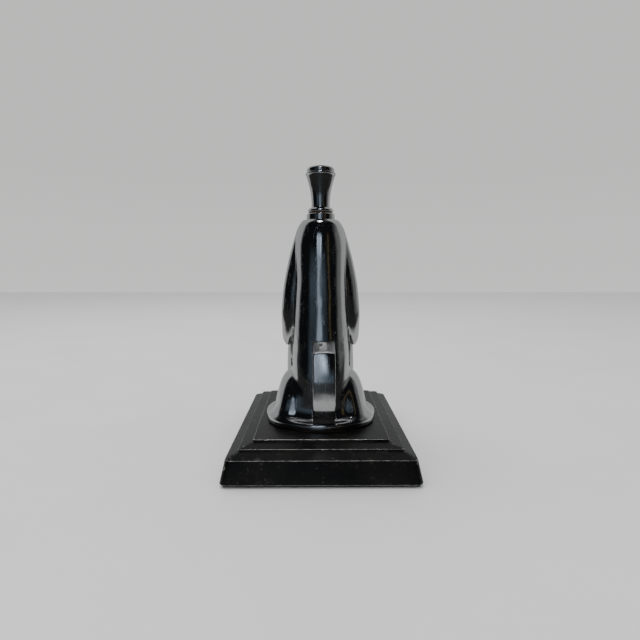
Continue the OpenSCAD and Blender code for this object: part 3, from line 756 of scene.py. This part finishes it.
# The knob: a waisted flare with a rolled lip
z0, z1 = KNOB_LOW[2], KNOB_HIGH[2]
LIP_R, THIN, WIDE = 0.6, 4.35, KNOB_HIGH[0]
FLARE_POWER, FLARE_STEPS, LIP_STEPS = 1.25, 26, 7
lip_z = z1 - LIP_R
flare = [(0, z0, 0), (THIN + 0.15, z0, 0.1), (THIN, z0 + 0.5, 0.3)]
for i in range(2, FLARE_STEPS):
    t = i / FLARE_STEPS
    swell = 1 - math.cos(math.radians(90 * t**FLARE_POWER))
    flare.append((THIN + (WIDE - LIP_R / 2 - THIN) * swell, z0 + (lip_z - LIP_R - z0) * t, 0))
for i in range(LIP_STEPS + 1):
    a = math.radians(-55 + 145 * i / LIP_STEPS)
    flare.append((WIDE - LIP_R + LIP_R * math.cos(a), lip_z + LIP_R * math.sin(a), 0))
flare.append((0, z1, 0))
knob = turned("flared_knob", flare)
dress(knob, TURNED)
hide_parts("wand_knob")
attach(knob, "wand")

z0, z1, r = CAP_LOW[2], CAP_HIGH[2], CAP_HIGH[0]
cap = turned("top_disc", [
    (0, z0, 0), (r - 0.25, z0, 0.1), (r, z0 + 0.35, 0.2), (r, z1 - 1.0, 0.6), (r - 0.9, z1 - 0.18, 0.7),
    (r * 0.5, z1 - 0.01, 0), (0, z1, 0)])
dress(cap, TURNED)
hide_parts("knob_cap")
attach(cap, "wand")

# ---------------------------------------------------------------- the base
z0, z1 = BASE_LOW[2], BASE_HIGH[2]
PLATE_TOP = z0 + 1.0
CORE_IN, CORE_Z = 5.1, 9.9            # the wide part of the hollow underneath, and how high it goes
UPPER_IN, UPPER_Z = 11.6, 12.3        # the narrow part above it
RABBET_IN = 3.07
BAND_IN, BAND_Z = 2.1, 10.8           # the top of the slanting band
LEDGE_IN, LEDGE_LOW, LEDGE_HIGH = 7.0, 12.7, 13.6
TOP_IN, TOP_LOW = 12.4, 14.7
plinth = stepped_block("plinth", [
    (UPPER_IN, UPPER_Z, 0, 1.1), (UPPER_IN, CORE_Z, 0.5, 1.1), (CORE_IN, CORE_Z, 0.5, 1.1),
    (CORE_IN, PLATE_TOP, 0.1, 1.1), (RABBET_IN, PLATE_TOP, 0.1, 1.1), (RABBET_IN, z0, 0.1, 1.1),
    (0.75, z0, 0.3, 3.0), (0.0, z0 + 0.8, 0.4, 3.0), (BAND_IN, BAND_Z, 0.4, 2.4),
    (LEDGE_IN, LEDGE_LOW, 0.25, 1.1), (LEDGE_IN, LEDGE_HIGH, 0.25, 1.1), (TOP_IN, TOP_LOW, 0.2, 1.1),
    (TOP_IN, z1, 0.3, 1.1), (TOP_IN + 1.3, z1, 0, 1.1)], BASE_HIGH[:2])
dress(plinth, BLACK)
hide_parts("base_casting")
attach(plinth, "stand")

# ---------------------------------------------------------------- the striker in front of the figure
low, high = node_box("striker_holder")
middle, span = (low + high) / 2, (high - low)[:2] / 2
holder = stepped_block("striker_tray", [
    (0.4, low[2], 0, 0.8), (0.0, low[2] + 0.01, 0.1, 0.8), (0.0, low[2] + 1.6, 0.25, 0.8),
    (1.2, high[2], 0.3, 0.8), (2.0, high[2], 0, 0.8)], span)
for point in holder.data.vertices:
    point.co.x += middle[0] * MM
    point.co.y += middle[1] * MM
dress(holder, TURNED)
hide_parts("striker_holder")
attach(holder, "stand")


def soften(node, width, segments):
    """Rounds a CAD node's edges a little."""
    bevel = node.modifiers.new("soft_edge", "BEVEL")
    bevel.width = width
    bevel.segments = segments
    bevel.limit_method = "ANGLE"


for name, material in (("striker_flint", FLINT), ("striker_rivets", TURNED)):
    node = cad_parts[name]
    soften(node, 0.00018, 3)
    dress(node, material)

# ---------------------------------------------------------------- the carried-over nodes
PLAIN = {
    "bottom_plate": STEEL, "bottom_plate_screws": STEEL, "base_felt": FELT, "foot_gasket": GASKET,
    "figure_screws": STEEL, "figure_washers": STEEL, "reservoir_tube": BRASS, "reservoir_washer": BRASS,
    "reservoir_nut": BRASS, "filler_washer": LEATHER, "filler_plug": BRASS, "cotton_packing": COTTON,
    "wand_guide": STEEL, "collar_seal": LEATHER, "wand_tube": TURNED, "wand_wick": COTTON, "wand_tip": STEEL,
}
SOFT = ("base_felt", "bottom_plate", "foot_gasket", "wand_tip", "filler_plug", "reservoir_nut")
for name, material in PLAIN.items():
    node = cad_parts[name]
    dress(node, material)
    if name in SOFT:
        soften(node, 0.0001, 2)

# ---------------------------------------------------------------- the room
def table_paint():
    """Pale matt paint for the table."""
    material, tree, shader = new_material("pale_table")
    cloud = remap(tree, noise(tree, 14.0, 4.0, 0.55), 0.3, 0.7)
    shade = mix_colour(tree, cloud, (0.80, 0.80, 0.80), (0.76, 0.76, 0.765))
    tree.links.new(shade, shader.inputs["Base Color"])
    shader.inputs["Roughness"].default_value = 0.55
    tree.links.new(bump(tree, noise(tree, 900.0, 3.0), 0.00003), shader.inputs["Normal"])
    return material


FLOOR = table_paint()
# Painted shade: for glossy rays only, the table's colour is mixed half way to near-black near the base and
# wholly further out towards +Y and to the sides, so the chrome reflects a shaded table while the camera sees
# it evenly pale
leaves = FLOOR.node_tree
place = leaves.nodes.new("ShaderNodeNewGeometry")
apart = leaves.nodes.new("ShaderNodeSeparateXYZ")
leaves.links.new(place.outputs["Position"], apart.inputs[0])
aside = maths(leaves, "MULTIPLY", maths(leaves, "ABSOLUTE", apart.outputs[0]), 0.55)
far = remap(leaves, maths(leaves, "ADD", apart.outputs[1], aside), 0.10, 0.15, 0.50, 1.0)
seen = leaves.nodes.new("ShaderNodeLightPath")
shade = maths(leaves, "MULTIPLY", far, seen.outputs["Is Glossy Ray"])
table = leaves.nodes["Principled BSDF"]
bare = table.inputs["Base Color"].links[0].from_socket
# painted shade: the near-black mixed into the table's colour that only glossy rays see
leaves.links.new(mix_colour(leaves, shade, bare, (0.020, 0.020, 0.019)), table.inputs["Base Color"])
bpy.ops.mesh.primitive_plane_add(size=3.0, location=(0, 0, 0))
floor = bpy.context.object
floor.name = "table_top"
dress(floor, FLOOR)

world = bpy.data.worlds.new("studio")
scene.world = world
world.use_nodes = True
tree = world.node_tree
tree.nodes.clear()
out = tree.nodes.new("ShaderNodeOutputWorld")
back = tree.nodes.new("ShaderNodeBackground")
tree.links.new(back.outputs[0], out.inputs[0])
where = tree.nodes.new("ShaderNodeTexCoord")
part = tree.nodes.new("ShaderNodeSeparateXYZ")
tree.links.new(where.outputs["Generated"], part.inputs[0])
DX, DY, DZ = part.outputs
ray = tree.nodes.new("ShaderNodeLightPath")


def card(azimuth, width, soft, start, low_full, high_full, end):
    """1 inside a patch of the studio's walls.

    The azimuth is in degrees from +Y towards -X, and the heights are sines of the elevation.
    """
    a = math.radians(azimuth)
    along_x, along_y = maths(tree, "MULTIPLY", DX, -math.sin(a)), maths(tree, "MULTIPLY", DY, math.cos(a))
    along = maths(tree, "ADD", along_x, along_y)
    flat = maths(tree, "SQRT", maths(tree, "SUBTRACT", 1.0001, maths(tree, "MULTIPLY", DZ, DZ)))
    edge = math.cos(math.radians(width / 2))
    side = remap(tree, maths(tree, "DIVIDE", along, flat), edge - soft, edge)
    up = remap(tree, DZ, start, low_full)
    down = remap(tree, DZ, high_full, end, 1.0, 0.0)
    return maths(tree, "MULTIPLY", side, maths(tree, "MULTIPLY", up, down))


def lamp_spot(azimuth, elevation, radius):
    """1 inside a round patch of the sky."""
    a, e = math.radians(azimuth), math.radians(elevation)
    dot = maths(tree, "ADD", maths(tree, "MULTIPLY", DX, -math.sin(a) * math.cos(e)),
                maths(tree, "MULTIPLY", DY, math.cos(a) * math.cos(e)))
    dot = maths(tree, "ADD", dot, maths(tree, "MULTIPLY", DZ, math.sin(e)))
    return remap(tree, dot, math.cos(math.radians(radius)), math.cos(math.radians(radius * 0.7)))


level = mix_colour(tree, 0.0, (0.0075, 0.008, 0.009), (0, 0, 0))
CARDS = [
    # azimuth, width, azimuth softness, lowest, full from, full to, highest, colour
    (-14.0, 56.0, 0.14, -0.30, -0.05, 0.06, 0.40, (0.060, 0.080, 0.100)),  # dim bluish end of the room
    (37.0, 5.0, 0.002, -0.60, -0.50, 0.60, 0.75, (0.08, 0.063, 0.034)),    # warm brown upright
    (-6.0, 12.0, 0.018, -0.35, -0.10, 0.30, 0.45, (0.13, 0.165, 0.20)),    # light under the window
    (-8.0, 14.0, 0.016, 0.14, 0.44, 0.64, 0.76, (0.95, 1.15, 1.40)),       # window strip
    (-9.0, 3.0, 0.006, -0.20, 0.00, 0.66, 0.76, (0.34, 0.39, 0.46)),       # bright edge of its frame
    (100.0, 24.0, 0.10, -0.60, -0.50, 0.50, 0.75, (0.16, 0.16, 0.16)),     # grey side wall
    (180.0, 138.0, 0.20, -1.2, -1.1, 0.98, 1.1, (0.42, 0.43, 0.43)),       # pale wall
]
for *patch, colour in CARDS:
    level = mix_colour(tree, card(*patch), level, colour)
level = mix_colour(tree, remap(tree, DZ, 0.90, 0.975), level, (0.05, 0.05, 0.055))
level = mix_colour(tree, lamp_spot(-8.0, 80.0, 6.0), level, (14.0, 14.0, 14.0))
backdrop = mix_colour(tree, remap(tree, DZ, -0.06, 0.20, 0.80, 0.71), (0, 0, 0), (1.0, 1.0, 0.99))
shown = mix_colour(tree, ray.outputs["Is Camera Ray"], level, backdrop)
lit = mix_colour(tree, ray.outputs["Is Diffuse Ray"], shown, (0.85, 0.85, 0.86))
tree.links.new(lit, back.inputs["Color"])

key = bpy.data.lights.new("soft_key", "AREA")
key.shape = "RECTANGLE"
key.size, key.size_y = 0.9, 0.7
key.energy = 6.0
key.color = (1.0, 0.99, 0.97)
lamp = bpy.data.objects.new("soft_key", key)
lamp.location = (0.25, -0.25, 0.95)
lamp.rotation_euler = (Vector((0, 0, 0.05)) - lamp.location).to_track_quat("-Z", "Y").to_euler()
lamp.visible_glossy = False
scene.collection.objects.link(lamp)

# ---------------------------------------------------------------- the camera
eye = bpy.data.cameras.new("camera")
eye.lens = 24.975
eye.sensor_width = 36.0
eye.clip_start = 0.01
camera = bpy.data.objects.new("camera", eye)
camera.location = (0.00183, 0.2205, 0.0875)
down = math.radians(6.5)
turn = (-0.00698, -0.99998)  # the heading in plan, a little off straight ahead
heading = Vector((turn[0] * math.cos(down), turn[1] * math.cos(down), -math.sin(down)))
camera.rotation_euler = heading.to_track_quat("-Z", "Y").to_euler()
scene.collection.objects.link(camera)
scene.camera = camera
